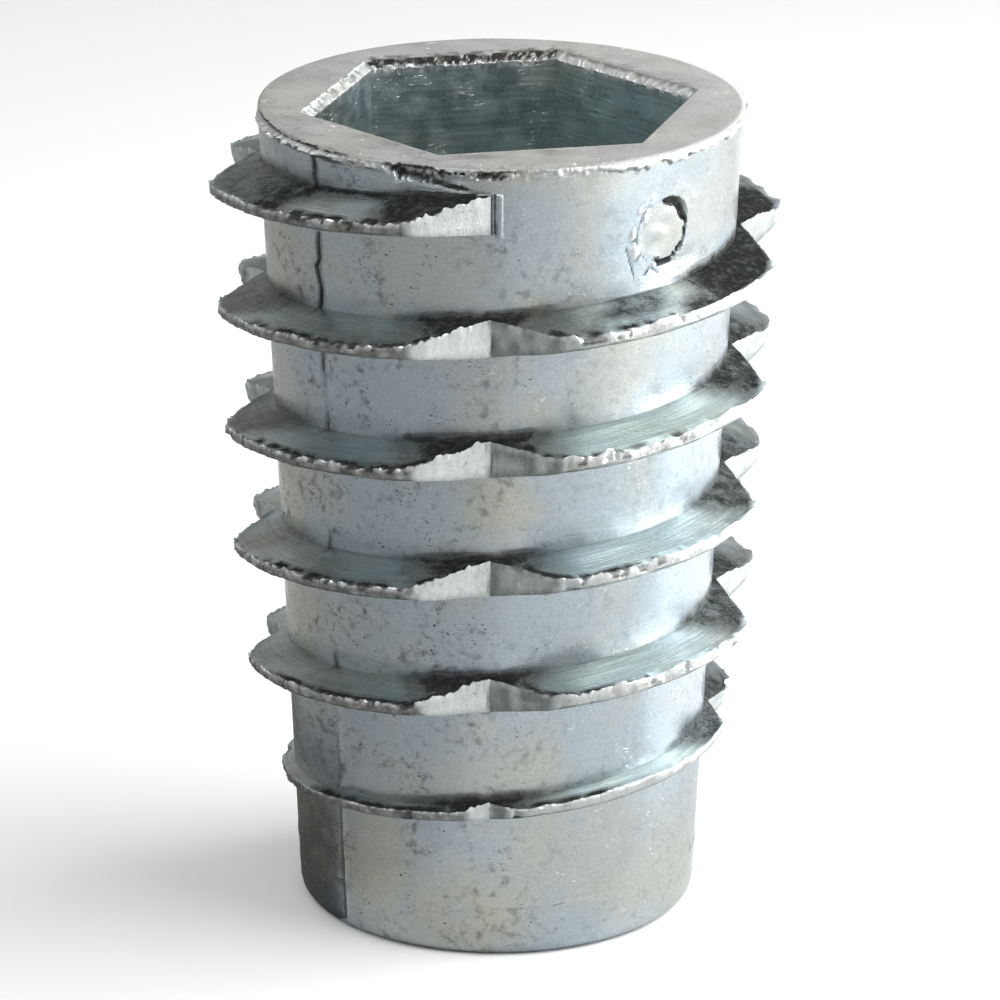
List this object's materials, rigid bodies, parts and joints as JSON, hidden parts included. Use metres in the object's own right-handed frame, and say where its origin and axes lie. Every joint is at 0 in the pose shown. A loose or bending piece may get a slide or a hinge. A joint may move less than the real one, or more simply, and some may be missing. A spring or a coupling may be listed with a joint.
{
  "type": "threaded insert",
  "caption": "Screw-in threaded insert for wood: tapered cast sleeve with a coarse notched outer thread, a hex socket at the top and a bored, threaded hole for a bolt.",
  "frame": {"origin": "on the insert's axis, in the plane of its foot", "axes": "+Z along the axis towards the driving end with the hex socket; -Y through one column of thread notches, the one where the outer thread ends at the top"},
  "size_m": [0.0169, 0.017, 0.025],
  "materials": {
    "zinc_plate": "die-cast zinc alloy with a bright bluish zinc plating, dull grey on the end face and darkened in the thread"
  },
  "bodies": {
    "root": {"insert": "zinc_plate"}
  },
  "joints": []
}
